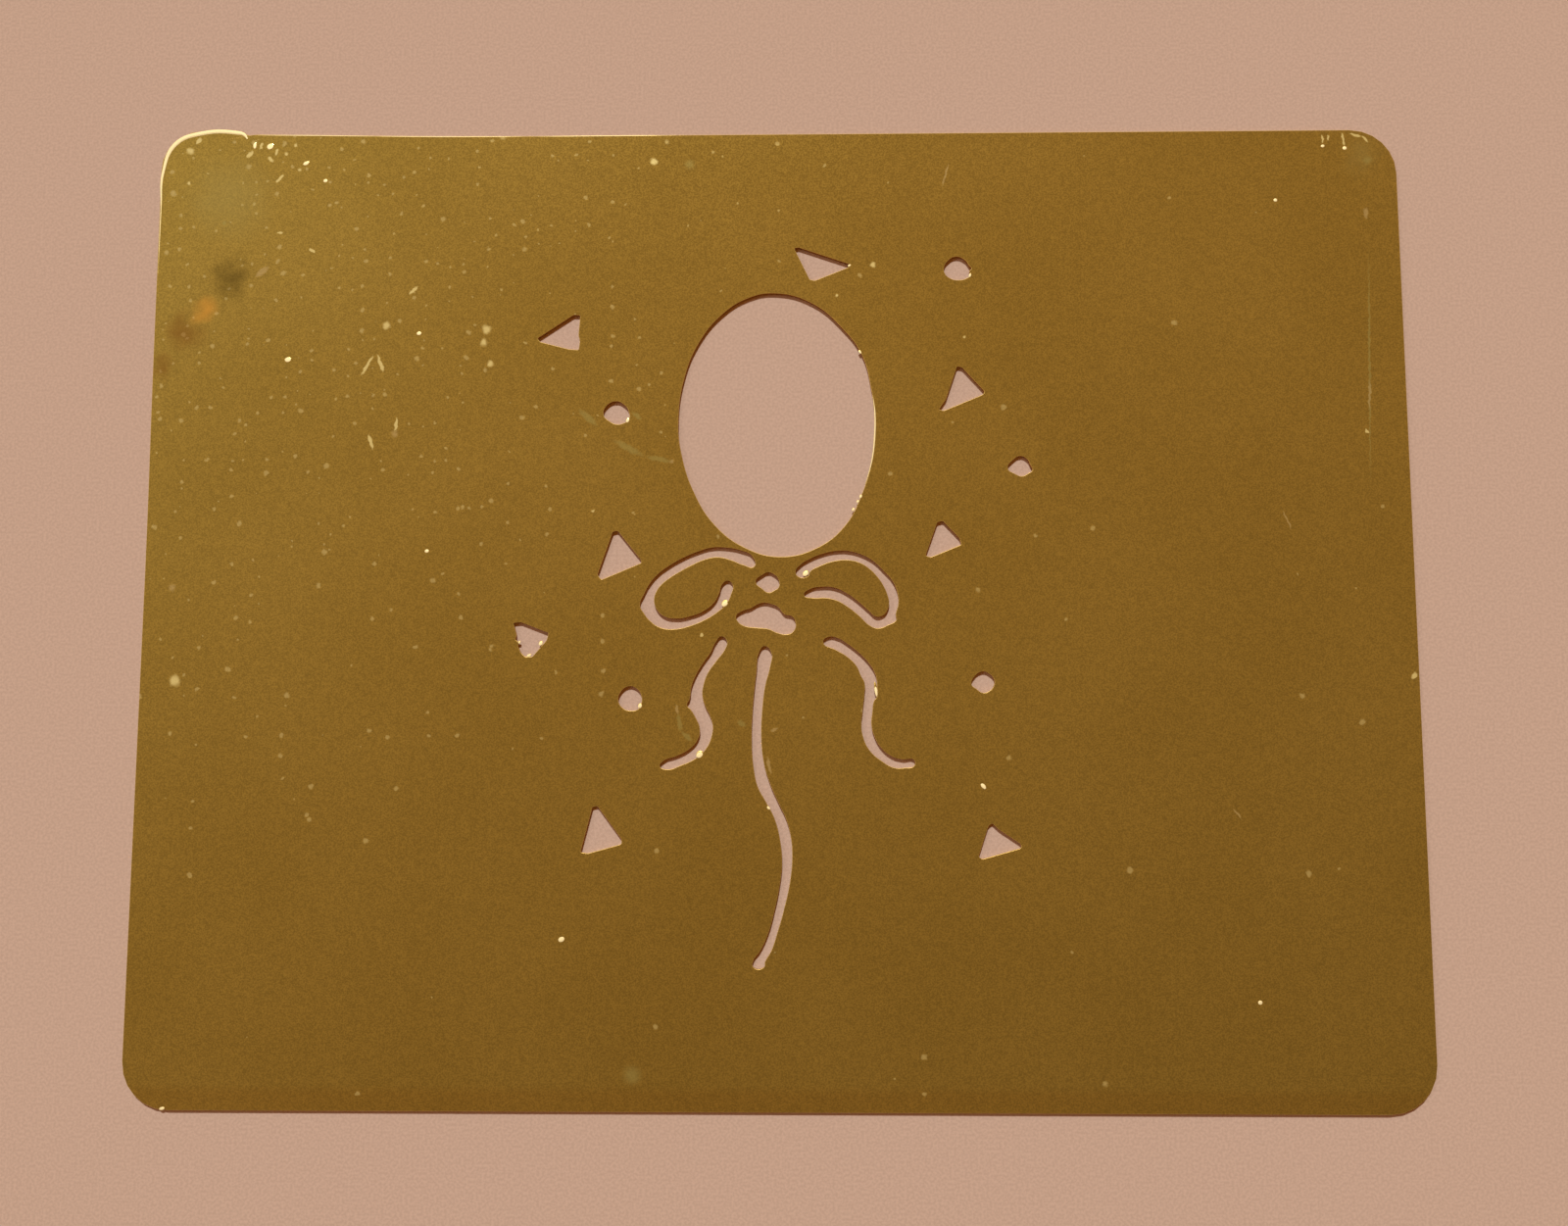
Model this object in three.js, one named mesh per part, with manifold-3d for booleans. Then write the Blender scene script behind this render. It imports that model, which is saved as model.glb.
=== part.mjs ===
// A stencil for embossing card: one flat sheet of brass, pierced right through with a party balloon
// on a string, its bow, and a scatter of confetti triangles and dots.
// Millimetres, +Z up. The origin is the middle of the sheet's underside.

import * as THREE from 'three';
import { mergeVertices } from 'three/addons/utils/BufferGeometryUtils.js';
import Module from 'manifold-3d';

const wasm = await Module();
wasm.setup();

// Sheet
const sheetLength = 110;
const sheetWidth = 85;
const sheetThickness = 0.4;
const cornerRadius = 4;

// The figure is set out on a grid, counted from the middle of the sheet: x to the right, y upwards
const gridStep = 1;

// Balloon: an upright oval that stands on a grid point
const balloonWidth = 17.3;
const balloonHeight = 23.6;
const balloonFoot = [0.3, 4.2];

// Bow and string: slots that a stylus runs along. A route holds grid points, and a slot's shares of
// slotWidth are spaced evenly from the start of its route to the end.
const slotWidth = 0.95;
const slots = {
	leftLoop: {
		route: [
			[-2.05, 3.9], [-3.4, 4.4], [-4.9, 4.7], [-6.4, 4.4], [-8, 3.6], [-9.6, 2.7], [-10.6, 1.6],
			[-11, 0.2], [-10.5, -0.9], [-9.4, -1.5], [-8, -1.5], [-6.4, -1.1], [-5.2, -0.3],
			[-4.5, 0.6], [-4.1, 1.85]
		],
		shares: [1.05, 1.05, 1, 1.2, 0.95, 0.8, 1]
	},
	rightLoop: {
		route: [
			[2.35, 2.95], [3.2, 3.7], [4.5, 4.2], [6, 4.4], [7.4, 4.15], [8.6, 3.35], [9.65, 2.15],
			[10.2, 0.9], [10.2, -0.4], [9.85, -1.15], [9, -1.5], [8, -1.1], [7, -0.2],
			[5.8, 0.75], [4.5, 1.2], [3.05, 1.1]
		],
		shares: [0.85, 0.75, 0.8, 0.95, 1, 0.8, 0.8]
	},
	leftTail: {
		route: [
			[-4.55, -3.05], [-5.15, -4.5], [-5.85, -5.5], [-6.5, -6.6], [-6.75, -7.7], [-6.5, -8.8],
			[-6, -9.8], [-5.85, -10.8], [-6.1, -11.8], [-6.8, -12.6], [-7.9, -13.2], [-9.3, -13.6]
		],
		shares: [0.95, 0.9, 1.1, 1.25, 1, 0.8]
	},
	rightTail: {
		route: [
			[4.65, -3.05], [5.9, -3.5], [7, -4.5], [7.9, -5.6], [8.3, -6.8], [8.1, -8.2],
			[8, -9.6], [8.05, -11], [8.5, -12.1], [9.4, -13], [10.4, -13.45], [11.5, -13.5]
		],
		shares: [0.85, 1.05, 1.25, 1, 1, 0.95, 0.8]
	},
	string: {
		route: [
			[-0.75, -3.9], [-1, -6], [-1.35, -8.5], [-1.5, -11], [-1.3, -14], [-0.6, -16.2], [0.4, -18],
			[0.95, -20], [1.05, -22.2], [0.7, -24.8], [0.1, -27], [-0.6, -28.9], [-1.25, -30.3]
		],
		shares: [1, 1, 1.05, 1.1, 1, 0.85, 1]
	}
};

// Knot: a lump with a soft outline through grid points
const knotOutline = [
	[-3.35, -1], [-2.6, -0.4], [-1.75, -0.05], [-0.9, 0.35], [0.1, 0.1], [0.65, -0.5], [1.3, -0.85],
	[1.85, -1.2], [1.7, -2.2], [1, -2.55], [0.1, -2.35], [-0.9, -2], [-2.1, -1.8], [-3, -1.5]
];

// Confetti: triangles by their corners and dots by their middles, on the grid. The triangle over the
// balloon is counted from the balloon's top, and the rest from the middle of the sheet.
const triangleCornerCut = 0.45;
const triangleOverBalloon = [[1.35, 4.5], [2.85, 1], [6.6, 2.55]];
const triangles = [
	[[-13.9, 6.85], [-15.5, 2.1], [-11.4, 3.75]],
	[[-22.7, -1.25], [-21.5, -4.85], [-19.2, -2.2]],
	[[-21, 23.7], [-17.2, 22.65], [-17.15, 26.3]],
	[[16.2, 21.4], [14.25, 17.05], [18.6, 18.75]],
	[[14.4, 7.75], [12.9, 4.25], [16.5, 5.4]],
	[[-15.25, -16.75], [-16.6, -21.25], [-12.75, -20.2]],
	[[18.4, -18.25], [17.05, -21.6], [21.2, -20.5]]
];
const largeDot = 2.25;
const smallDot = 2;
const dots = [
	{ middle: [16.1, 30], diameter: largeDot },
	{ middle: [-13.9, 17.1], diameter: largeDot },
	{ middle: [-12.4, -7.95], diameter: largeDot },
	{ middle: [17.95, -6.6], diameter: smallDot },
	{ middle: [21.35, 12.2], diameter: smallDot },
	{ middle: [-0.6, 2], diameter: smallDot }
];

// How finely curves are cut into straight steps: arcs and ovals get two steps to a segment
const cornerSegments = 6;
const balloonSegments = 40;
const dotSegments = 12;
const triangleCornerSegments = 4;
const slotStepsPerPoint = 4;
const slotEndSteps = 8;
const knotSteps = 48;

function onGrid( [ x, y ] ) {

	return new THREE.Vector2( x * gridStep, y * gridStep );

}

function sheetShape() {

	const right = sheetLength / 2 - cornerRadius;
	const top = sheetWidth / 2 - cornerRadius;
	const shape = new THREE.Shape();
	shape.absarc( right, top, cornerRadius, 0, Math.PI / 2 );
	shape.absarc( - right, top, cornerRadius, Math.PI / 2, Math.PI );
	shape.absarc( - right, - top, cornerRadius, Math.PI, Math.PI * 1.5 );
	shape.absarc( right, - top, cornerRadius, Math.PI * 1.5, Math.PI * 2 );
	shape.closePath();
	return shape;

}

function balloonShape() {

	const foot = onGrid( balloonFoot );
	const halfWidth = balloonWidth / 2;
	const halfHeight = balloonHeight / 2;
	const shape = new THREE.Shape();
	shape.absellipse( foot.x, foot.y + halfHeight, halfWidth, halfHeight, 0, Math.PI * 2 );
	return shape;

}

function balloonTop() {

	return onGrid( balloonFoot ).add( new THREE.Vector2( 0, balloonHeight ) );

}

function dotShape( { middle, diameter } ) {

	const centre = onGrid( middle );
	const shape = new THREE.Shape();
	shape.absarc( centre.x, centre.y, diameter / 2, 0, Math.PI * 2 );
	return shape;

}

function knotShape() {

	const points = knotOutline.map( ( point ) => new THREE.Vector3( ...onGrid( point ), 0 ) );
	const outline = new THREE.CatmullRomCurve3( points, true ).getPoints( knotSteps );
	outline.pop();
	return new THREE.Shape( outline.map( ( { x, y } ) => new THREE.Vector2( x, y ) ) );

}

// A triangle whose corners are cut back along both sides and rounded off
function triangleShape( corners, origin = new THREE.Vector2() ) {

	const points = corners.map( ( corner ) => onGrid( corner ).add( origin ) );
	const shape = new THREE.Shape();
	const towards = ( from, to ) => to.clone().sub( from ).setLength( triangleCornerCut ).add( from );
	points.forEach( ( corner, i ) => {

		const before = towards( corner, points[ ( i + 2 ) % 3 ] );
		const after = towards( corner, points[ ( i + 1 ) % 3 ] );
		if ( i === 0 ) shape.moveTo( before.x, before.y );
		else shape.lineTo( before.x, before.y );
		shape.quadraticCurveTo( corner.x, corner.y, after.x, after.y );

	} );
	shape.closePath();
	return shape;

}

// A slot of changing width along a smooth route, with round ends
function slotShape( { route, shares } ) {

	const line = new THREE.SplineCurve( route.map( onGrid ) );
	const share = new THREE.SplineCurve( shares.map( ( value, i ) => new THREE.Vector2( i, value ) ) );
	const steps = route.length * slotStepsPerPoint;
	const leftSide = [];
	const rightSide = [];
	for ( let i = 0; i <= steps; i ++ ) {

		const along = i / steps;
		const point = line.getPointAt( along );
		const heading = line.getTangentAt( along );
		const across = new THREE.Vector2( - heading.y, heading.x );
		const half = share.getPoint( along ).y * slotWidth / 2;
		leftSide.push( point.clone().addScaledVector( across, half ) );
		rightSide.push( point.clone().addScaledVector( across, - half ) );

	}

	const startCap = roundEnd( leftSide[ 0 ], rightSide[ 0 ] );
	const endCap = roundEnd( rightSide[ steps ], leftSide[ steps ] );
	return new THREE.Shape( [ ...startCap, ...rightSide, ...endCap, ...leftSide.reverse() ] );

}

// The points between two corners of a slot's end, on a half circle anticlockwise from one to the other
function roundEnd( from, to ) {

	const centre = from.clone().add( to ).multiplyScalar( 0.5 );
	const points = [];
	for ( let i = 1; i < slotEndSteps; i ++ ) {

		points.push( from.clone().rotateAround( centre, Math.PI * i / slotEndSteps ) );

	}

	return points;

}

function solidFrom( geometry ) {

	geometry.deleteAttribute( 'normal' );
	geometry.deleteAttribute( 'uv' );
	const merged = mergeVertices( geometry );
	return new wasm.Manifold( new wasm.Mesh( {
		numProp: 3,
		vertProperties: merged.attributes.position.array,
		triVerts: merged.index.array
	} ) );

}

function geometryFrom( solid ) {

	const mesh = solid.getMesh();
	const geometry = new THREE.BufferGeometry();
	geometry.setAttribute( 'position', new THREE.BufferAttribute( mesh.vertProperties, 3 ) );
	geometry.setIndex( new THREE.BufferAttribute( mesh.triVerts, 1 ) );
	geometry.computeVertexNormals();
	return geometry;

}

// A cutter stands out of both faces of the sheet by the sheet's own thickness
function cutter( shape, curveSegments ) {

	const geometry = new THREE.ExtrudeGeometry( shape, {
		depth: sheetThickness * 3,
		bevelEnabled: false,
		curveSegments
	} );
	geometry.translate( 0, 0, - sheetThickness );
	return solidFrom( geometry );

}

function stencilPlate() {

	const cutters = [
		cutter( balloonShape(), balloonSegments ),
		cutter( knotShape(), 1 ),
		...Object.values( slots ).map( ( slot ) => cutter( slotShape( slot ), 1 ) ),
		cutter( triangleShape( triangleOverBalloon, balloonTop() ), triangleCornerSegments ),
		...triangles.map( ( corners ) => cutter( triangleShape( corners ), triangleCornerSegments ) ),
		...dots.map( ( dot ) => cutter( dotShape( dot ), dotSegments ) )
	];
	const blank = new THREE.ExtrudeGeometry( sheetShape(), {
		depth: sheetThickness,
		bevelEnabled: false,
		curveSegments: cornerSegments
	} );
	const pierced = cutters.reduce( ( sheet, tool ) => sheet.subtract( tool ), solidFrom( blank ) );
	const brass = new THREE.MeshStandardMaterial( { color: 0x8a672a, roughness: 0.4, metalness: 1 } );
	const plate = new THREE.Mesh( geometryFrom( pierced ), brass );
	plate.name = 'stencil_plate';
	return plate;

}

const stencil = new THREE.Group();
stencil.add( stencilPlate() );

export default stencil;
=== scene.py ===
import math
import bpy
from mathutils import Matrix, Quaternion, Vector


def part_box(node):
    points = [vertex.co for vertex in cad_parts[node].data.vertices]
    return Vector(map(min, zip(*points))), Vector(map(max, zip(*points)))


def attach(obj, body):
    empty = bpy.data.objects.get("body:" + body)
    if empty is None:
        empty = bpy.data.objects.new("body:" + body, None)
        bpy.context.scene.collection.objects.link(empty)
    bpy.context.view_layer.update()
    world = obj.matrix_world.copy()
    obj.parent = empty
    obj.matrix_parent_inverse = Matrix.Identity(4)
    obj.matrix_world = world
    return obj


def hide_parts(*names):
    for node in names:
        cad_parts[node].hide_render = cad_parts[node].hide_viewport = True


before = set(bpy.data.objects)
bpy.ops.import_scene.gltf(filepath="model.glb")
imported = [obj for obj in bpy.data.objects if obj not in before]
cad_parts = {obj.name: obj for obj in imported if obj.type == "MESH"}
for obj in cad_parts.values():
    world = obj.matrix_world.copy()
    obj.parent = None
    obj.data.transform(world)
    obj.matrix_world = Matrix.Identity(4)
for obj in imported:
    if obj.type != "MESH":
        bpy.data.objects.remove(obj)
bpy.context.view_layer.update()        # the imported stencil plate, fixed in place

mm = 0.001
hair = 0.001 * mm         # lengths below this count as nothing
plateLow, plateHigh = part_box("stencil_plate")

# sheet: the corners of its edge in mm, each with how far back its rounding starts
sheet = {
    "rim": 0.03,           # rounding of every cut edge, mm
    "rimSteps": 1,
    "gridStep": 5,         # squares that the flat faces are cut into, mm
    "curveSteps": 6,       # straight steps between two points of an outline
    "cornerPull": 0.5523,  # makes a bezier corner an arc
    "smoothAngle": 40,     # edges sharper than this stay sharp, degrees
    "edge": [
        (-54.95, -42.5, 4), (55.05, -42.5, 4), (55.05, 42.5, 4), (40, 42.5, 6), (-28, 42.5, 8),
        (-46.9, 42.85, 0.4), (-47.4, 42.75, 0.2), (-48.1, 43.2, 0.3), (-55.2, 43.2, 3.6),
        (-55.15, 36.5, 0.5), (-55.1, 20, 6), (-54.95, 8, 6),
    ],
}

# holes with soft outlines, in mm from the middle of the sheet
softHoles = {
    "balloon": [
        (-0.1, 27.85), (3.25, 26.95), (6.05, 24.55), (7.65, 22.3), (8.45, 19.3), (8.8, 16), (8.55, 13),
        (7.6, 9.8), (6.15, 7.05), (3.65, 5.05), (0.4, 4.3), (-2.52, 5.08), (-5.2, 7.1), (-7.05, 10.05),
        (-8.17, 13.5), (-8.45, 16), (-7.95, 20.2), (-6.65, 23.45), (-4.65, 25.95), (-2.4, 27.4),
    ],
    "leftLoop": [
        (-1.95, 4.4), (-2.9, 4.87), (-4.2, 5.12), (-5.4, 5.13), (-6.6, 4.8), (-8, 4.2), (-9.2, 3.5),
        (-10.15, 2.78), (-10.85, 1.93), (-11.3, 1.07), (-11.65, 0.12), (-11.3, -0.6), (-10.68, -1.33),
        (-9.88, -1.85), (-8.7, -2), (-7.3, -1.71), (-5.9, -1.12), (-4.9, -0.48), (-4.17, 0.2),
        (-3.74, 1.1), (-3.6, 1.8), (-4.02, 2.23), (-4.5, 1.95), (-4.8, 1.1), (-5.2, 0.35), (-6, -0.35),
        (-7.2, -0.85), (-8.6, -1.07), (-9.6, -0.83), (-10.25, -0.15), (-10.43, 0.6), (-10.22, 1.33),
        (-9.8, 1.9), (-9.2, 2.4), (-8.3, 2.98), (-7.17, 3.6), (-6, 4.1), (-4.9, 4.28), (-3.8, 4.03),
        (-2.7, 3.6), (-1.75, 3.47),
    ],
    "rightLoop": [
        (1.82, 2.97), (2.25, 3.6), (3.06, 4.11), (4.17, 4.56), (5.3, 4.8), (6.4, 4.8), (7.45, 4.52),
        (8.52, 3.94), (9.44, 3.06), (10.22, 2.15), (10.64, 1.1), (10.7, 0.2), (10.46, -0.75), (10.5, -1.23),
        (9.8, -1.66), (8.9, -1.95), (8.22, -1.7), (7.34, -0.88), (6.3, -0.05), (5.4, 0.47), (4.4, 0.7),
        (3.3, 0.7), (2.55, 0.97), (3.05, 1.46), (4, 1.67), (5.24, 1.58), (6.36, 1.04), (7.24, 0.38),
        (8.12, -0.4), (8.77, -0.93), (9.34, -0.83), (9.73, -0.38), (9.9, 0.3), (9.75, 1), (9.45, 1.72),
        (8.95, 2.48), (8.3, 3.18), (7.4, 3.76), (6.3, 4), (5, 3.87), (3.92, 3.48), (3.08, 3),
        (2.9, 2.6), (2.2, 2.5),
    ],
    "leftTail": [
        (-4.57, -2.62), (-4.1, -3.02), (-4.25, -3.7), (-4.95, -4.68), (-5.74, -5.8), (-6.1, -6.8),
        (-6.2, -7.7), (-5.95, -8.6), (-5.55, -9.4), (-5.3, -10.2), (-5.38, -11.2), (-5.8, -12.2),
        (-6.6, -13.02), (-7.9, -13.67), (-9.3, -14.05), (-9.8, -13.77), (-9.5, -13.33), (-8.3, -12.88),
        (-7.22, -12.27), (-6.55, -11.47), (-6.4, -10.6), (-6.83, -9.5), (-7.22, -8.9), (-7.5, -8.6),
        (-7.28, -8), (-7.14, -6.97), (-6.7, -5.86), (-6.1, -4.86), (-5.48, -3.98), (-5.05, -3.1),
    ],
    "rightTail": [
        (4.2, -3.12), (4.6, -2.7), (5.4, -2.76), (6.38, -3.35), (7.37, -4.14), (8.16, -5), (8.7, -5.97),
        (8.82, -7), (8.8, -7.85), (8.55, -8.2), (8.39, -9.2), (8.31, -10.2), (8.56, -11.22), (9.16, -12.24),
        (10.1, -12.97), (11, -13.2), (11.9, -13.22), (11.95, -13.72), (11.1, -13.92), (10.2, -13.9),
        (9.18, -13.34), (8.16, -12.44), (7.61, -11.32), (7.45, -10.2), (7.56, -9), (7.72, -7.6),
        (7.76, -6.7), (7.42, -6), (7.09, -5.24), (6.27, -4.4), (5.27, -3.8),
    ],
    "string": [
        (-0.85, -3.47), (-0.27, -4), (-0.37, -5.2), (-0.8, -6.9), (-1.05, -9), (-1.13, -11), (-0.95, -13.2),
        (-0.41, -15.12), (0.34, -16.83), (1, -18.22), (1.38, -19.6), (1.52, -21.2), (1.38, -23.2),
        (0.88, -25.6), (0.28, -27.7), (-0.26, -29.3), (-0.78, -30.2), (-0.87, -30.64), (-1.78, -30.6),
        (-1.75, -30.05), (-1.2, -29.3), (-0.5, -27.8), (0.03, -25.9), (0.43, -24), (0.66, -21.9),
        (0.48, -19.9), (-0.02, -18.1), (-0.77, -16.7), (-1.42, -15.5), (-1.78, -13.8), (-1.94, -11.8),
        (-1.86, -8.8), (-1.54, -5.6), (-1.3, -3.95),
    ],
    "knot": [
        (-3.32, -0.87), (-2.77, -0.42), (-2.08, -0.2), (-1.48, 0.15), (-0.9, 0.3), (-0.3, 0.19), (0.3, -0.07),
        (0.88, -0.72), (1.53, -0.9), (1.81, -1.35), (1.66, -2.17), (1.1, -2.46), (0.3, -2.34), (-0.5, -2),
        (-1.6, -1.88), (-2.58, -1.73), (-3.13, -1.36),
    ],
    "knotDot": [
        (-0.55, 2.95), (0, 2.74), (0.35, 2.33), (0.38, 1.68), (-0.02, 1.35), (-0.52, 1.17), (-1.04, 1.5),
        (-1.63, 2.15), (-1.08, 2.71),
    ],
    "dotTopRight": [
        (16.05, 31.1), (16.76, 30.83), (17.21, 30.23), (17.4, 29.97), (17.2, 29.77), (17.34, 29.47),
        (16.98, 29.13), (16.23, 28.95), (15.54, 29.1), (15.06, 29.53), (14.96, 30.12), (15.36, 30.77),
    ],
    "dotTopLeft": [
        (-13.95, 18.15), (-13.25, 17.87), (-12.8, 17.22), (-12.82, 16.47), (-13.17, 16.22), (-13.87, 16.08),
        (-14.45, 16.33), (-15.04, 16.97), (-14.75, 17.77),
    ],
    "dotBottomLeft": [
        (-12.5, -6.92), (-11.83, -7.14), (-11.44, -7.72), (-11.44, -8.4), (-11.63, -8.83), (-12.32, -9.05),
        (-13.03, -8.8), (-13.43, -8.2), (-13.23, -7.43),
    ],
    "dotBottomRight": [
        (17.87, -5.68), (18.46, -5.9), (18.85, -6.38), (18.8, -6.95), (18.4, -7.38), (17.86, -7.52),
        (17.32, -7.18), (16.91, -6.8), (17.13, -6.14),
    ],
    "dotRight": [
        (21.41, 13.12), (22.01, 12.83), (22.27, 12.33), (22.45, 11.87), (22.08, 11.58), (21.52, 11.33),
        (20.93, 11.54), (20.3, 12.05), (20.76, 12.77),
    ],
}

# holes with straight sides: the corners of each confetti triangle, in mm
confetti = {
    "cornerCut": 0.12,
    "leftOfBow": [
        (-14.08, 6.55), (-13.65, 6.62), (-11.62, 4.1), (-11.52, 3.81), (-15.02, 2.33), (-15.38, 2.76),
    ],
    "farLeft": [
        (-22.6, -1.42), (-21.95, -1.36), (-19.52, -2.3), (-19.7, -2.95), (-20.1, -3.42), (-20.92, -4.38),
        (-21.53, -4.38), (-21.92, -4.02), (-22.2, -3.4), (-22.05, -3.15), (-22.45, -2.85), (-22.3, -2.55),
    ],
    "topLeft": [
        (-21, 23.85), (-20.72, 23.53), (-18.1, 22.85), (-17.3, 22.8), (-17.2, 23.7), (-17.35, 24.1),
        (-17.2, 25.95), (-17.8, 25.98),
    ],
    "topRight": [
        (16, 21.15), (16.45, 21.05), (18.38, 18.9), (18.28, 18.62), (14.8, 17.17), (14.37, 17.28), (15, 18.2),
    ],
    "rightOfBow": [(14.12, 7.3), (14.6, 7.42), (16.05, 5.88), (16.2, 5.32), (13.52, 4.22), (13.07, 4.37)],
    "bottomLeft": [
        (-15.52, -17.22), (-15.08, -17.16), (-12.98, -19.98), (-13.02, -20.38), (-15.9, -21.17),
        (-16.5, -21.06),
    ],
    "bottomRight": [
        (18.15, -18.85), (18.48, -18.58), (19.05, -19.12), (20.9, -20.35), (20.93, -20.68), (17.62, -21.62),
        (17.3, -21.4),
    ],
    "overBalloon": [(1.72, 31.95), (2.1, 32.03), (6.78, 30.42), (6.45, 30.14), (3.55, 28.98), (3.1, 29.07)],
}


def deselectAll():
    if bpy.context.object and bpy.context.object.mode != "OBJECT":
        bpy.ops.object.mode_set(mode="OBJECT")
    bpy.ops.object.select_all(action="DESELECT")


def newOutline(name, count):
    deselectAll()
    bpy.ops.curve.primitive_bezier_circle_add(radius=mm)
    outline = bpy.context.object
    outline.name = name
    points = outline.data.splines[0].bezier_points
    points.add(count - len(points))
    return outline, points


def turnedClockwise(corners):
    area = 0
    for (ax, ay, *_), (bx, by, *_) in zip(corners, corners[1:] + corners[:1]):
        area += ax * by - bx * ay
    return corners if area < 0 else corners[::-1]


def softOutline(name, corners):
    outline, points = newOutline(name, len(corners))
    for point, (x, y) in zip(points, corners):
        point.co = (x * mm, y * mm, 0)
        point.handle_left_type = "AUTO"
        point.handle_right_type = "AUTO"
    return outline


def cornerOutline(name, corners, pull):
    outline, points = newOutline(name, 2 * len(corners))
    for i, (x, y, cut) in enumerate(corners):
        corner = Vector((x, y, 0)) * mm
        before = Vector((*corners[i - 1][:2], 0)) * mm
        after = Vector((*corners[(i + 1) % len(corners)][:2], 0)) * mm
        start, end = points[2 * i], points[2 * i + 1]
        start.co = corner + (before - corner).normalized() * cut * mm
        end.co = corner + (after - corner).normalized() * cut * mm
        start.handle_left_type = "VECTOR"
        start.handle_right_type = "FREE"
        start.handle_right = start.co.lerp(corner, pull)
        end.handle_left_type = "FREE"
        end.handle_left = end.co.lerp(corner, pull)
        end.handle_right_type = "VECTOR"
    return outline


def buildPlate():
    outlines = [cornerOutline("sheetEdge", sheet["edge"], sheet["cornerPull"])]
    for name, corners in softHoles.items():
        outlines.append(softOutline(name, turnedClockwise(corners)))
    for name, corners in confetti.items():
        if name != "cornerCut":
            cutCorners = [(x, y, confetti["cornerCut"]) for x, y in corners]
            outlines.append(cornerOutline(name, turnedClockwise(cutCorners), sheet["cornerPull"]))
    deselectAll()
    for outline in outlines:
        outline.select_set(True)
    bpy.context.view_layer.objects.active = outlines[0]
    bpy.ops.object.join()
    plate = bpy.context.object
    plate.name = "brass_stencil"
    rim = sheet["rim"] * mm
    thickness = plateHigh.z - plateLow.z
    curve = plate.data
    curve.dimensions = "2D"
    curve.fill_mode = "BOTH"
    curve.resolution_u = sheet["curveSteps"]
    curve.extrude = thickness / 2 - rim
    curve.bevel_depth = rim
    curve.bevel_resolution = sheet["rimSteps"]
    curve.offset = -rim
    bpy.ops.object.convert(target="MESH")
    plate.location.z = plateLow.z + thickness / 2
    bpy.ops.object.transform_apply(location=True, rotation=True, scale=True)
    bpy.ops.object.mode_set(mode="EDIT")
    bpy.ops.mesh.select_all(action="SELECT")
    bpy.ops.mesh.remove_doubles(threshold=hair)
    bpy.ops.mesh.normals_make_consistent(inside=False)
    cutGrid(sheet["gridStep"] * mm)
    return plate


def cutGrid(step):
    for axis in range(2):
        normal = Vector((0, 0, 0))
        normal[axis] = 1
        reach = max(-plateLow[axis], plateHigh[axis])
        for line in range(-int(reach / step), int(reach / step) + 1):
            bpy.ops.mesh.select_all(action="SELECT")
            bpy.ops.mesh.bisect(plane_co=normal * line * step, plane_no=normal)
    bpy.ops.object.mode_set(mode="OBJECT")


# burrs: specks of metal turned up on the face and at the holes' edges
burrs = {
    "facing": (-0.02, 0.1, 1),     # direction that their flat tops face
    "thickness": 0.08,
    "sunk": 0.012,                 # how far their middles lie below the face
    "segments": 14,
    "rings": 8,
    "places": [                    # x, y, length, width and turn
        (-4.3, 0.25, 0.65, 0.5, 40), (2.7, 2.85, 0.6, 0.45, 30), (-6.4, -12.75, 0.7, 0.55, 40),
        (-20.2, -3.2, 0.45, 0.35, 50), (-12.9, 16.45, 0.45, 0.3, 60), (7.5, 9.6, 0.35, 0.25, 60),
        (7.25, 9.15, 0.3, 0.25, 60), (6.85, 8.45, 0.35, 0.25, 50), (8.7, -7.2, 1.3, 0.26, 86),
        (-11.55, -8.6, 0.45, 0.35, 60), (6.6, 30.35, 0.3, 0.22, 20), (17.75, -15.4, 0.75, 0.35, 115),
        (7.5, 22.5, 0.4, 0.22, 110), (-0.5, -17.3, 0.4, 0.22, 120), (-51.4, -42.35, 0.5, 0.3, 0),
        (-45.4, 41.8, 0.75, 0.6, 60), (-46.8, 41.9, 0.8, 0.32, 80), (-42.1, 40.15, 0.6, 0.4, 20),
        (-40.3, 38.5, 0.42, 0.38, 0), (48.65, 41.05, 0.35, 0.3, 0), (50.58, 40.85, 0.4, 0.38, 0),
        (-18, -28.3, 0.6, 0.5, 30), (-43.1, 22.1, 0.6, 0.55, 0), (44.3, 36.1, 0.35, 0.35, 0),
        (40.6, -33.4, 0.4, 0.4, 0), (-31.5, 24.4, 0.45, 0.4, 0), (-30.3, 4.9, 0.4, 0.35, 0),
        (-21.2, -4.25, 0.45, 0.25, 10), (-22.05, -3.1, 0.3, 0.2, 70), (17.25, 29.4, 0.4, 0.22, 60),
    ],
}

# lips: where an edge is rolled up by wear, as x, y and share of the full width
lips = {
    "width": 0.46,
    "flatness": 0.35,
    "sunk": 0.4,           # share of the roll's half height by which its middle lies below the face
    "roundSteps": 3,
    "lengthSteps": 8,
    "corner": [
        (-55.03, 30, 0.08), (-55.04, 36, 0.2), (-55, 39.4, 0.6), (-54, 42, 1), (-51.6, 43, 0.95),
        (-48.4, 43.02, 0.9), (-47.8, 42.85, 0.7), (-47.5, 42.45, 0.3),
    ],
    "topEdge": [
        (-46.6, 42.78, 0.1), (-42, 42.72, 0.2), (-36, 42.6, 0.1), (-30, 42.51, 0.2), (-22, 42.47, 0.08),
        (-14, 42.47, 0.18), (-8, 42.47, 0.06),
    ],
    "balloonEdge": [
        (7.9, 10.6, 0.1), (8.5, 12.8, 0.25), (8.75, 15, 0.32), (8.78, 17, 0.28), (8.6, 18.6, 0.1),
    ],
}


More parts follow.
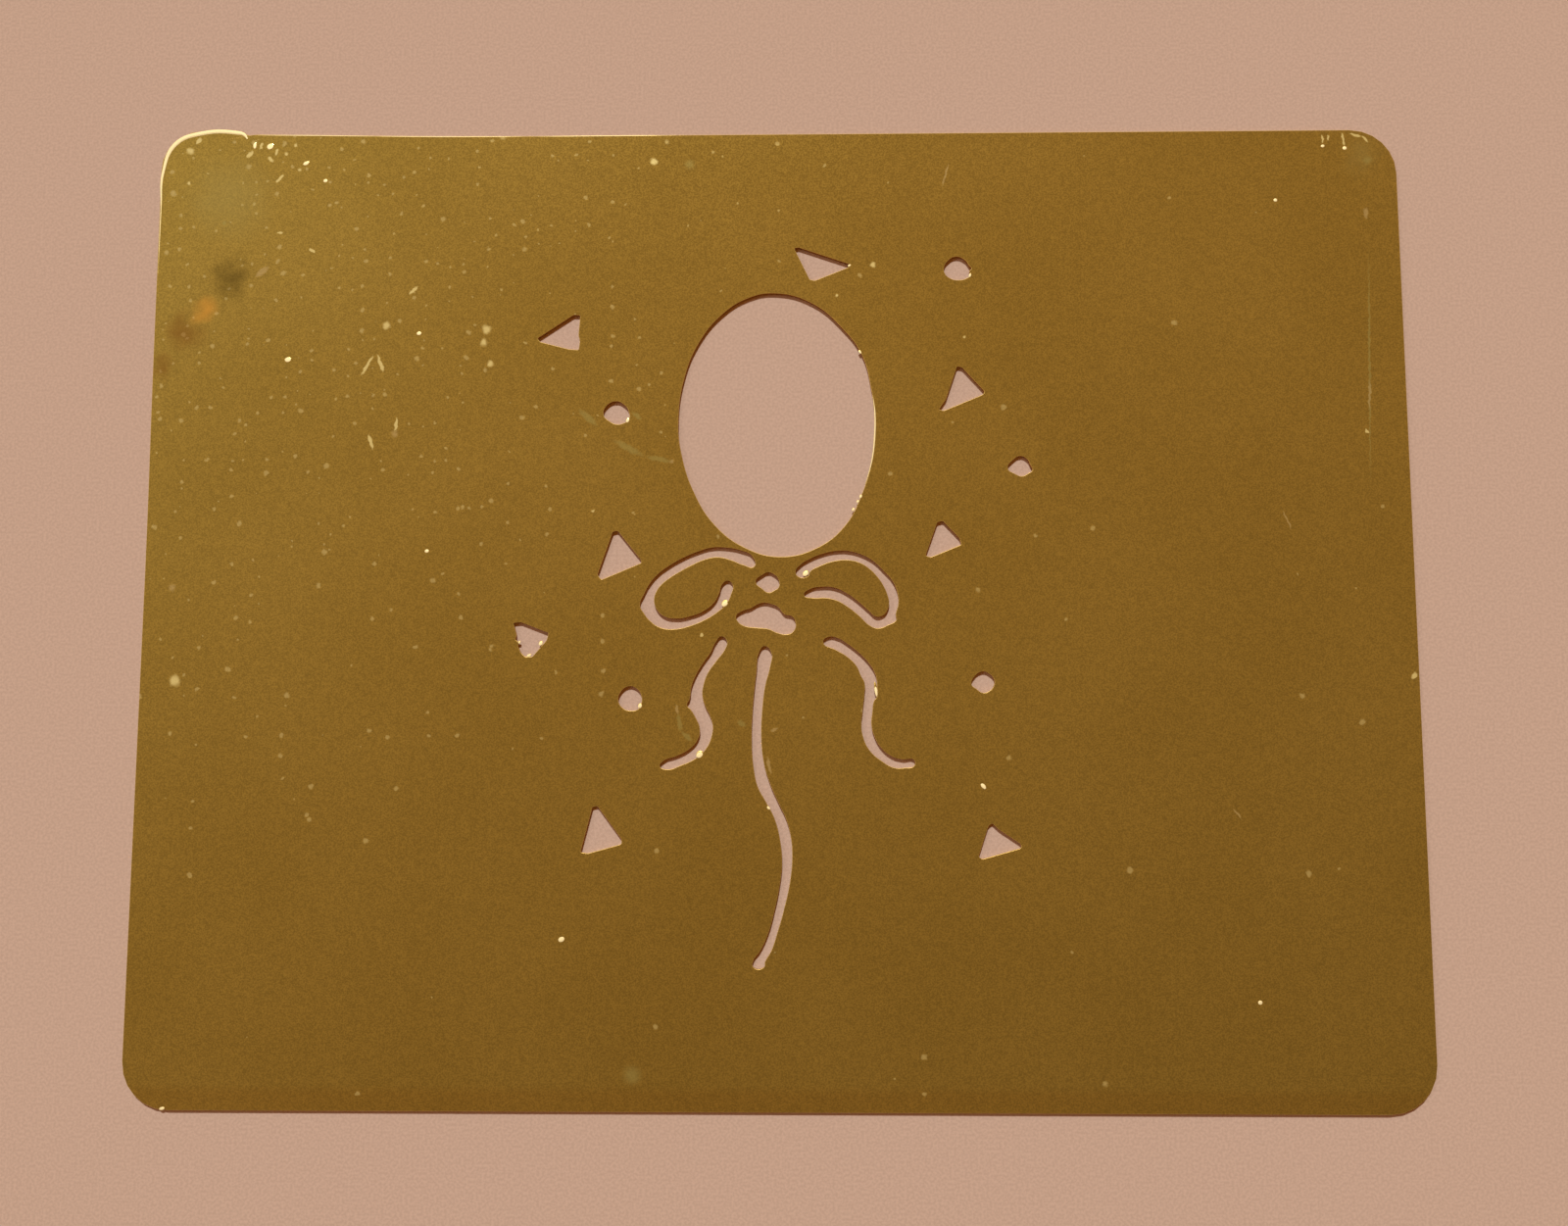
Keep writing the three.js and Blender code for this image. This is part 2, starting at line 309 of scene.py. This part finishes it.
def buildBurr(x, y, length, width, turn):
    deselectAll()
    place = Vector((x * mm, y * mm, plateHigh.z - burrs["sunk"] * mm))
    bpy.ops.mesh.primitive_uv_sphere_add(
        segments=burrs["segments"], ring_count=burrs["rings"], radius=0.5, location=place,
    )
    burr = bpy.context.object
    facing = Vector(burrs["facing"]).to_track_quat("Z", "Y")
    burr.scale = Vector((length, width, burrs["thickness"])) * mm
    burr.rotation_euler = (facing @ Quaternion((0, 0, 1), math.radians(turn))).to_euler()
    bpy.ops.object.transform_apply(location=True, rotation=True, scale=True)
    return burr


def buildLip(path):
    deselectAll()
    bpy.ops.curve.primitive_bezier_curve_add(radius=mm)
    roll = bpy.context.object
    curve = roll.data
    points = curve.splines[0].bezier_points
    points.add(len(path) - len(points))
    half = lips["width"] / 2
    for point, (x, y, share) in zip(points, path):
        point.co = Vector((x, y, -lips["sunk"] * half * share)) * mm
        point.handle_left_type = "AUTO"
        point.handle_right_type = "AUTO"
        point.radius = share
    curve.bevel_depth = half * mm
    curve.bevel_resolution = lips["roundSteps"]
    curve.resolution_u = lips["lengthSteps"]
    curve.use_fill_caps = True
    bpy.ops.object.convert(target="MESH")
    roll.scale.z = lips["flatness"]
    roll.location.z = plateHigh.z
    bpy.ops.object.transform_apply(location=True, rotation=True, scale=True)
    bpy.ops.object.mode_set(mode="EDIT")
    bpy.ops.mesh.select_all(action="SELECT")
    bpy.ops.mesh.remove_doubles(threshold=hair)
    bpy.ops.mesh.normals_make_consistent(inside=False)
    bpy.ops.object.mode_set(mode="OBJECT")
    return roll


def addRaised(plate):
    raised = [buildLip(lips[name]) for name in ("corner", "topEdge", "balloonEdge")]
    for place in burrs["places"]:
        raised.append(buildBurr(*place))
    deselectAll()
    plate.select_set(True)
    bpy.context.view_layer.objects.active = plate
    for bump in raised:
        union = plate.modifiers.new("raised", "BOOLEAN")
        union.operation = "UNION"
        union.solver = "MANIFOLD"
        union.object = bump
        bpy.ops.object.modifier_apply(modifier=union.name)
        bpy.data.objects.remove(bump)


def liesAt(heights, level):
    return all(abs(height - level) < hair for height in heights)


def smoothPlate(plate):
    bpy.ops.object.shade_smooth_by_angle(angle=math.radians(sheet["smoothAngle"]))
    points = plate.data.vertices
    for face in plate.data.polygons:
        heights = [points[corner].co.z for corner in face.vertices]
        face.select = liesAt(heights, plateLow.z) or liesAt(heights, plateHigh.z)
    bpy.ops.object.mode_set(mode="EDIT")
    bpy.ops.mesh.select_mode(type="FACE")
    bpy.ops.mesh.faces_shade_flat()
    bpy.ops.object.mode_set(mode="OBJECT")


brass = {
    "light": (0.615, 0.436, 0.085, 1),     # broad cloudy patches run from this
    "deep": (0.575, 0.403, 0.075, 1),      # to this
    "cloudSize": 18,                       # mm
    "roughness": (0.07, 0.1),
    "grain": 0.17,                         # share by which the fine grain lightens or darkens
    "grainSize": 0.12,                     # mm
    "bump": (0.1, 0.003),                  # strength of the grain's relief and its depth in mm
    "mottle": (0.6, 0.035),                # size in mm and share of the coarser unevenness
    "rim": (0.62, 0.42, 0.12, 1),          # rounded edges
    "rimRoughness": 0.5,
    "rimFacing": (0.99, 0.95),             # where it sets in: a flat face counts as 1, an upright one as 0
    "wall": (0.45, 0.22, 0.035, 1),        # cut sides of the sheet and its holes: etched brass, darkened as painted shade
    "wallFacing": (0.6, 0.25),
    "upperFacing": (0.8, 0.9),             # marks lie only on faces that look up
    "raised": (0.92, 0.8, 0.44, 1),        # tops of the burrs and the lips: rubbed metal, painted pale as their glint
    "raisedRoughness": 0.68,
    "raisedDull": 0.45,                    # share by which they are less of a mirror, so their painted glint shows from every side
    "raisedFrom": 0.01,                    # height over the face where they have their full colour, mm
    "dullRoughness": 0.15,                 # added where the brass is dull
    "worst": (-50, 39),                    # specks crowd round this corner, in mm
    "speckReach": (8, 75),                 # distances from it over which they thin out, mm
    "speckShare": (0.5, 0.03),             # share of cells with a speck, at the corner and far from it
    "specks": [(400, 0.1), (900, 0.16)],   # cells per metre and size in cells, of large and of small ones
    "speckLeast": 0.4,                     # the least share of that size, the most is 1 more
    "speckCore": 0.4,                      # share of a speck that has its full colour
    "speckColour": (0.78, 0.66, 0.26, 1),
    "speckCover": 0.5,
    "speckDull": 0.6,
    "ragged": (0.45, 0.35),                # size and reach of the unevenness of flecks, in mm
    "wavy": (1.6, 2.2),                    # and of soft stains
    "foot": (-40.2, -41.2),                # a redder strip lies below these heights, in mm
    "footColour": (0.52, 0.3, 0.047, 1),
    "footCover": 0.35,
}

# marks on the upper face, by kind, in mm: round ones as x, y and size,
# long ones as x, y, length, width and turn in degrees
marks = {
    "hazed": {
        "colour": (0.62, 0.54, 0.16, 1), "cover": 0.35, "soft": 1, "dull": 0.1, "places": [
            (-48.9, 37, 11), (52, 40.3, 5),
        ],
    },
    "tarnished": {
        "colour": (0.13, 0.09, 0.017, 1), "cover": 0.6, "soft": 1, "dull": 0, "places": [
            (-48.5, 29.6, 5.2),
        ],
    },
    "browned": {
        "colour": (0.42, 0.22, 0.04, 1), "cover": 0.75, "soft": 1, "dull": 0, "places": [
            (-52.6, 24.8, 5), (-54.4, 21.3, 3.2),
        ],
    },
    "reddened": {
        "colour": (0.98, 0.52, 0.08, 1), "cover": 0.85, "soft": 1, "dull": 0.1, "places": [
            (-50.6, 26.7, 3.2),
        ],
    },
    "greened": {
        "colour": (0.56, 0.5, 0.14, 1), "cover": 0.6, "soft": 0.9, "dull": 0.25, "places": [
            (-11.9, -39.5, 2.2), (-7.6, 39.7, 1.3), (-49.3, 34.6, 0.5), (52.5, 39.7, 1.2),
            (-12.8, 13.95, 3.4, 0.8, -28), (-10.1, 12.95, 2.7, 0.55, -12), (-16.4, 16.7, 2.6, 0.75, -42),
            (-12.1, 16.85, 1.2, 0.5, -38), (-8.15, -10, 1.8, 0.5, -80), (-7.5, -11.2, 1.5, 0.55, -42),
            (-2.75, -10.15, 1.1, 0.6, -34), (51.95, 21, 24, 0.24, 88),
        ],
    },
    # scuffs, dings and streaks whose glint is painted in as a pale, matte colour
    "scuffsAndGlints": {
        "colour": (0.86, 0.74, 0.28, 1), "cover": 0.9, "soft": 0.7, "dull": 0.65, "places": [
            (-34.4, 25.1, 0.9), (-25.5, 24.7, 1.1), (-25.7, 23.5, 0.9), (-25.1, 21.6, 0.8),
            (-51.9, -6.4, 1.3), (-10.8, 40, 0.9), (-52.6, 41.3, 0.9), (-52.6, 38.3, 0.45),
            (-43.9, 41, 0.45), (-43.1, 41.8, 0.5), (-42.7, 39.5, 0.45),
            (-44.8, 41.2, 0.7, 0.4, 80), (-46.2, 41.75, 0.8, 0.32, 60), (-51.9, 42.3, 0.8, 0.4, 50),
            (-47.2, 41, 1, 0.5, 55),
            (-45.3, 40.5, 0.8, 0.4, -40), (-44.4, 38.7, 1.2, 0.4, 50), (-32.1, 28.3, 1.2, 0.35, 45),
            (-44.2, 33.7, 0.6, 0.3, 10), (-41.3, 32, 0.7, 0.35, -35), (-35.5, 14.6, 1.7, 0.4, -72),
            (48.65, 41.7, 0.9, 0.2, 88), (49.15, 41.85, 0.7, 0.16, 80),
            (50.45, 41.65, 1.5, 0.22, 97), (51.6, 42.05, 1.2, 0.3, -15), (52.4, 41.65, 0.9, 0.28, -45),
            (-36, 21.5, 2.3, 0.32, 61), (-34.85, 21.7, 2, 0.36, -70), (-33.3, 16.2, 1.5, 0.3, 82),
            (8.7, 30.4, 0.7), (16.7, 23.8, 0.4), (5.45, 27.6, 0.4), (-15.85, 8.4, 0.4),
            (-6.3, -2.5, 0.6, 0.25, 90), (51.5, 15.2, 0.5, 0.25, -60), (54.6, -6.1, 0.9, 0.45, 60),
        ],
    },
    "dusty": {
        "colour": (0.6, 0.45, 0.18, 1), "cover": 0.6, "soft": 0.8, "dull": 0.6, "places": [
            (-45.7, 30.1, 1.7, 0.6, 42), (-52.5, 1.7, 0.9), (-33.4, 15.3, 0.9), (-9, 12.75, 0.6),
            (-8.35, -8.9, 1, 0.35, 95), (-0.45, -13.7, 1.7, 0.35, -76),
            (0, -10.65, 0.8, 0.3, 18), (15.2, 38.6, 2.6, 0.24, 74), (44.3, 7.4, 2.2, 0.24, -68),
            (39.2, -17.8, 1.4, 0.22, -52), (52.2, 34.8, 1.2, 0.5, 90), (51.85, 18.4, 3, 0.28, 88),
        ],
    },
}


def setSocket(tree, socket, value):
    if isinstance(value, bpy.types.NodeSocket):
        tree.links.new(value, socket)
    else:
        socket.default_value = value


def addNode(tree, kind, sockets=None, **settings):
    node = tree.nodes.new(kind)
    for name, value in settings.items():
        setattr(node, name, value)
    for name, value in (sockets or {}).items():
        setSocket(tree, node.inputs[name], value)
    return node


def calculate(tree, operation, first, second=0):
    return addNode(tree, "ShaderNodeMath", {0: first, 1: second}, operation=operation).outputs[0]


def combine(tree, operation, first, second):
    return addNode(tree, "ShaderNodeVectorMath", {0: first, 1: second}, operation=operation).outputs["Vector"]


def measure(tree, operation, first, second):
    return addNode(tree, "ShaderNodeVectorMath", {0: first, 1: second}, operation=operation).outputs["Value"]


def scaled(tree, vector, factor):
    return addNode(tree, "ShaderNodeVectorMath", {0: vector, 3: factor}, operation="SCALE").outputs["Vector"]


def stretch(tree, value, start, stop, low=0, high=1):
    sockets = {"Value": value, "From Min": start, "From Max": stop, "To Min": low, "To Max": high}
    return addNode(tree, "ShaderNodeMapRange", sockets, interpolation_type="SMOOTHSTEP").outputs[0]


def blendColour(tree, share, first, second):
    return addNode(tree, "ShaderNodeMix", {0: share, 6: first, 7: second}, data_type="RGBA").outputs[2]


noiseRange = (0.3, 0.7)       # most values of a noise texture lie between these


def noise(tree, place, size, detail=2):
    sockets = {"Vector": place, "Scale": 1 / (size * mm), "Detail": detail}
    return addNode(tree, "ShaderNodeTexNoise", sockets)


def newGroup(name, inputs):
    group = bpy.data.node_groups.new(name, "ShaderNodeTree")
    for label, kind, value in inputs:
        socket = group.interface.new_socket(name=label, in_out="INPUT", socket_type=kind)
        socket.default_value = value
    group.interface.new_socket(name="Mask", in_out="OUTPUT", socket_type="NodeSocketFloat")
    return group, group.nodes.new("NodeGroupInput").outputs, group.nodes.new("NodeGroupOutput").inputs


def spotGroup():
    group, given, result = newGroup("round_spot", [
        ("Place", "NodeSocketVector", (0, 0, 0)), ("Centre", "NodeSocketVector", (0, 0, 0)),
        ("Radius", "NodeSocketFloat", 1), ("Softness", "NodeSocketFloat", 0.5),
    ])
    distance = measure(group, "DISTANCE", given["Place"], given["Centre"])
    hard = calculate(group, "SUBTRACT", 1, given["Softness"])
    inner = calculate(group, "MULTIPLY", given["Radius"], hard)
    setSocket(group, result["Mask"], stretch(group, distance, given["Radius"], inner))
    return group


def streakGroup():
    group, given, result = newGroup("long_streak", [
        ("Place", "NodeSocketVector", (0, 0, 0)),
        ("Along", "NodeSocketVector", (1, 0, 0)), ("Along start", "NodeSocketFloat", 0),
        ("Across", "NodeSocketVector", (0, 1, 0)), ("Across start", "NodeSocketFloat", 0),
        ("Softness", "NodeSocketFloat", 0.5),
    ])
    squares = []
    for side in ("Along", "Across"):
        way = measure(group, "DOT_PRODUCT", given["Place"], given[side])
        way = calculate(group, "SUBTRACT", way, given[side + " start"])
        squares.append(calculate(group, "MULTIPLY", way, way))
    inner = calculate(group, "SUBTRACT", 1, given["Softness"])
    setSocket(group, result["Mask"], stretch(group, calculate(group, "ADD", *squares), 1, inner))
    return group


def speckGroup():
    group, given, result = newGroup("scattered_specks", [
        ("Place", "NodeSocketVector", (0, 0, 0)), ("Cells per metre", "NodeSocketFloat", 1000),
        ("Size", "NodeSocketFloat", 0.1), ("Share", "NodeSocketFloat", 0.2),
    ])
    sockets = {"Vector": given["Place"], "Scale": given["Cells per metre"]}
    cells = addNode(group, "ShaderNodeTexVoronoi", sockets, voronoi_dimensions="2D")
    chance = addNode(group, "ShaderNodeSeparateColor", {"Color": cells.outputs["Color"]}).outputs
    chosen = calculate(group, "LESS_THAN", chance["Red"], given["Share"])
    spread = calculate(group, "ADD", chance["Green"], brass["speckLeast"])
    reach = calculate(group, "MULTIPLY", given["Size"], spread)
    core = calculate(group, "MULTIPLY", reach, brass["speckCore"])
    spot = stretch(group, cells.outputs["Distance"], reach, core)
    setSocket(group, result["Mask"], calculate(group, "MULTIPLY", spot, chosen))
    return group


def jitter(tree, place, size, reach):
    way = noise(tree, place, size, 1).outputs["Color"]
    way = combine(tree, "SUBTRACT", way, (0.5, 0.5, 0.5))
    return combine(tree, "ADD", place, scaled(tree, way, reach * mm))


def placeMark(tree, spot, streak, place, softness, x, y, length, width=None, turn=0):
    centre = Vector((x * mm, y * mm, plateHigh.z))
    sockets = {"Place": place, "Softness": softness}
    if width is None:
        sockets.update({"Centre": centre, "Radius": length * mm / 2})
        return addNode(tree, "ShaderNodeGroup", sockets, node_tree=spot).outputs["Mask"]
    way = Vector((math.cos(math.radians(turn)), math.sin(math.radians(turn)), 0))
    along = way / (length * mm / 2)
    across = Vector((-way.y, way.x, 0)) / (width * mm / 2)
    sockets.update({"Along": along, "Along start": along.dot(centre)})
    sockets.update({"Across": across, "Across start": across.dot(centre)})
    return addNode(tree, "ShaderNodeGroup", sockets, node_tree=streak).outputs["Mask"]


def plainBrass(tree, place, y, grain):
    cloud = stretch(tree, noise(tree, place, brass["cloudSize"]).outputs[0], *noiseRange)
    colour = blendColour(tree, cloud, brass["deep"], brass["light"])
    start, stop = brass["foot"]
    foot = stretch(tree, y, start * mm, stop * mm, 0, brass["footCover"])
    colour = blendColour(tree, foot, colour, brass["footColour"])
    grainTone = stretch(tree, grain, *noiseRange, 1 - brass["grain"], 1 + brass["grain"])
    size, change = brass["mottle"]
    mottle = stretch(tree, noise(tree, place, size).outputs[0], *noiseRange, 1 - change, 1 + change)
    return scaled(tree, colour, calculate(tree, "MULTIPLY", grainTone, mottle))


def addSpecks(tree, place, ragged, upper, colour):
    worst = Vector((*brass["worst"], 0)) * mm
    near, far = brass["speckReach"]
    away = measure(tree, "DISTANCE", place, worst)
    share = stretch(tree, away, near * mm, far * mm, *brass["speckShare"])
    fewer = calculate(tree, "MULTIPLY", share, share)
    specks = speckGroup()
    masks = []
    for (cells, size), chance in zip(brass["specks"], (share, fewer)):
        sockets = {"Place": ragged, "Cells per metre": cells, "Size": size, "Share": chance}
        masks.append(addNode(tree, "ShaderNodeGroup", sockets, node_tree=specks).outputs["Mask"])
    speckled = calculate(tree, "MULTIPLY", calculate(tree, "MAXIMUM", *masks), upper)
    speckled = calculate(tree, "MULTIPLY", speckled, brass["speckCover"])
    colour = blendColour(tree, speckled, colour, brass["speckColour"])
    return colour, calculate(tree, "MULTIPLY", speckled, brass["speckDull"])


def addMarks(tree, ragged, wavy, upper, colour, dull):
    spot = spotGroup()
    streak = streakGroup()
    for kind in marks.values():
        place = wavy if kind["soft"] == 1 else ragged
        marked = None
        for mark in kind["places"]:
            mask = placeMark(tree, spot, streak, place, kind["soft"], *mark)
            marked = calculate(tree, "MAXIMUM", marked, mask) if marked else mask
        marked = calculate(tree, "MULTIPLY", marked, upper)
        marked = calculate(tree, "MULTIPLY", marked, kind["cover"])
        colour = blendColour(tree, marked, colour, kind["colour"])
        if kind["dull"]:
            dull = calculate(tree, "MAXIMUM", dull, calculate(tree, "MULTIPLY", marked, kind["dull"]))
    return colour, dull


def brassMaterial():
    material = bpy.data.materials.new("worn_brass")
    material.use_nodes = True
    tree = material.node_tree
    shader = tree.nodes["Principled BSDF"]
    coordinates = addNode(tree, "ShaderNodeTexCoord").outputs
    place = coordinates["Object"]
    facing = addNode(tree, "ShaderNodeSeparateXYZ", {"Vector": coordinates["Normal"]}).outputs["Z"]
    upper = stretch(tree, facing, *brass["upperFacing"])
    level = calculate(tree, "ABSOLUTE", facing)
    rim = stretch(tree, level, *brass["rimFacing"])
    wall = stretch(tree, level, *brass["wallFacing"])
    height = addNode(tree, "ShaderNodeSeparateXYZ", {"Vector": place}).outputs
    raised = stretch(tree, height["Z"], plateHigh.z + hair, plateHigh.z + brass["raisedFrom"] * mm)

    grain = noise(tree, place, brass["grainSize"], 1).outputs[0]
    colour = plainBrass(tree, place, height["Y"], grain)
    ragged = jitter(tree, place, *brass["ragged"])
    wavy = jitter(tree, place, *brass["wavy"])
    colour, dull = addSpecks(tree, place, ragged, upper, colour)
    colour, dull = addMarks(tree, ragged, wavy, upper, colour, dull)
    # the cut sides take a darker, redder colour that is partly painted shade
    # the raised tops of burrs and lips take a pale colour that paints their glint
    for mask, name in ((rim, "rim"), (wall, "wall"), (raised, "raised")):
        colour = blendColour(tree, mask, colour, brass[name])
    setSocket(tree, shader.inputs["Base Color"], colour)

    dull = calculate(tree, "MAXIMUM", dull, calculate(tree, "MULTIPLY", raised, brass["raisedDull"]))
    setSocket(tree, shader.inputs["Metallic"], calculate(tree, "SUBTRACT", 1, dull))
    rough = stretch(tree, grain, *noiseRange, *brass["roughness"])
    rough = calculate(tree, "ADD", rough, calculate(tree, "MULTIPLY", dull, brass["dullRoughness"]))
    rough = calculate(tree, "MAXIMUM", rough, calculate(tree, "MULTIPLY", rim, brass["rimRoughness"]))
    rough = stretch(tree, raised, 0, 1, rough, brass["raisedRoughness"])
    setSocket(tree, shader.inputs["Roughness"], rough)
    strength, depth = brass["bump"]
    bump = addNode(tree, "ShaderNodeBump", {"Height": grain, "Strength": strength, "Distance": depth * mm})
    setSocket(tree, shader.inputs["Normal"], bump.outputs[0])
    return material


plate = buildPlate()
print("plate:", len(plate.data.vertices), "vertices")
addRaised(plate)
smoothPlate(plate)
print("burrs:", len(burrs["places"]), "plate:", len(plate.data.vertices), "vertices")
plate.data.materials.clear()
plate.data.materials.append(brassMaterial())
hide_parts("stencil_plate")
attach(plate, "root")
print("finish: brass,", sum(len(kind["places"]) for kind in marks.values()), "marks")

paper = {
    "size": 4,                      # metres
    "light": (0.627, 0.478, 0.371, 1),
    "deep": (0.553, 0.417, 0.321, 1),
    "grain": 0.22,                  # mm
    "roughness": 0.9,
    "shine": 0.2,
}


def buildFloor():
    deselectAll()
    bpy.ops.mesh.primitive_plane_add(size=paper["size"], location=(0, 0, 0))
    floor = bpy.context.object
    floor.name = "paper_floor"
    material = bpy.data.materials.new("matte_paper")
    material.use_nodes = True
    tree = material.node_tree
    shader = tree.nodes["Principled BSDF"]
    place = addNode(tree, "ShaderNodeTexCoord").outputs["Object"]
    fibre = stretch(tree, noise(tree, place, paper["grain"], 1).outputs[0], *noiseRange)
    setSocket(tree, shader.inputs["Base Color"], blendColour(tree, fibre, paper["deep"], paper["light"]))
    shader.inputs["Roughness"].default_value = paper["roughness"]
    shader.inputs["Specular IOR Level"].default_value = paper["shine"]
    floor.data.materials.append(material)


studio = {
    "lamps": [                      # elevation, turn to the left from behind, angle, strength
        (52, 6, 5, 2.39),
        (45, 80, 30, 0.28),
    ],
    "ambient": (0.26, 0.09, 0.015),  # soft fill in the shadows
    "skyColour": (0.372, 0.258, 0.192),
    "frontToBack": (0.73, 1.2),     # how bright the sky is in front and behind
    "backReach": 0.6,               # the change lies within this share of the way to either side
    "skyTowardLeft": 0.18,          # how much brighter it is on the left
    "window": (-0.68, 0.57, 0.45),  # direction of a soft bright patch of sky
    "windowColour": (0.43, 0.6, 0.72),
    "windowFall": 8,                # a larger power makes the patch smaller
    "horizonColour": (0.76, 0.62, 0.52),
    "horizonHeight": (0.75, 0.15),  # heights between which the sky pales to the horizon
}


def buildLamps():
    for elevation, left, angle, strength in studio["lamps"]:
        deselectAll()
        elevation = math.radians(elevation)
        left = math.radians(left)
        flat = math.cos(elevation)
        place = Vector((-flat * math.sin(left), flat * math.cos(left), math.sin(elevation)))
        bpy.ops.object.light_add(type="SUN", location=place)
        lamp = bpy.context.object
        lamp.data.angle = math.radians(angle)
        lamp.data.energy = strength
        lamp.rotation_euler = (-place).to_track_quat("-Z", "Y").to_euler()


def buildSky():
    world = bpy.context.scene.world or bpy.data.worlds.new("studio")
    bpy.context.scene.world = world
    world.use_nodes = True
    tree = world.node_tree
    direction = addNode(tree, "ShaderNodeTexCoord").outputs["Generated"]
    parts = addNode(tree, "ShaderNodeSeparateXYZ", {"Vector": direction}).outputs
    reach = studio["backReach"]
    back = stretch(tree, parts["Y"], -reach, reach, *studio["frontToBack"])
    left = calculate(tree, "MULTIPLY", parts["X"], -studio["skyTowardLeft"])
    sky = scaled(tree, studio["skyColour"], calculate(tree, "ADD", back, left))
    toward = measure(tree, "DOT_PRODUCT", direction, Vector(studio["window"]).normalized())
    patch = calculate(tree, "POWER", calculate(tree, "MAXIMUM", toward, 0), studio["windowFall"])
    sky = combine(tree, "ADD", sky, scaled(tree, studio["windowColour"], patch))
    low = stretch(tree, parts["Z"], *studio["horizonHeight"])
    sky = blendColour(tree, low, sky, (*studio["horizonColour"], 1))
    ray = addNode(tree, "ShaderNodeLightPath").outputs
    seen = calculate(tree, "MAXIMUM", ray["Is Camera Ray"], ray["Is Glossy Ray"])
    seen = calculate(tree, "MAXIMUM", seen, ray["Is Transmission Ray"])
    sky = blendColour(tree, seen, (*studio["ambient"], 1), sky)
    background = tree.nodes["Background"]
    setSocket(tree, background.inputs["Color"], sky)
    background.inputs["Strength"].default_value = 1


view = {
    "place": (3.34, -16, 134.87),   # mm
    "turn": (6.53, 1.07, 0.01),     # degrees
    "lens": 36,
    "sensor": 36,
    "clipStart": 5,                 # mm
}


def buildCamera():
    deselectAll()
    turn = [math.radians(angle) for angle in view["turn"]]
    bpy.ops.object.camera_add(location=Vector(view["place"]) * mm, rotation=turn)
    camera = bpy.context.object
    camera.data.lens = view["lens"]
    camera.data.sensor_width = view["sensor"]
    camera.data.clip_start = view["clipStart"] * mm
    bpy.context.scene.camera = camera


buildFloor()
buildLamps()
buildSky()
buildCamera()
bpy.context.scene.view_settings.view_transform = "Standard"
print("studio: floor,", len(studio["lamps"]), "lamps, sky and camera")
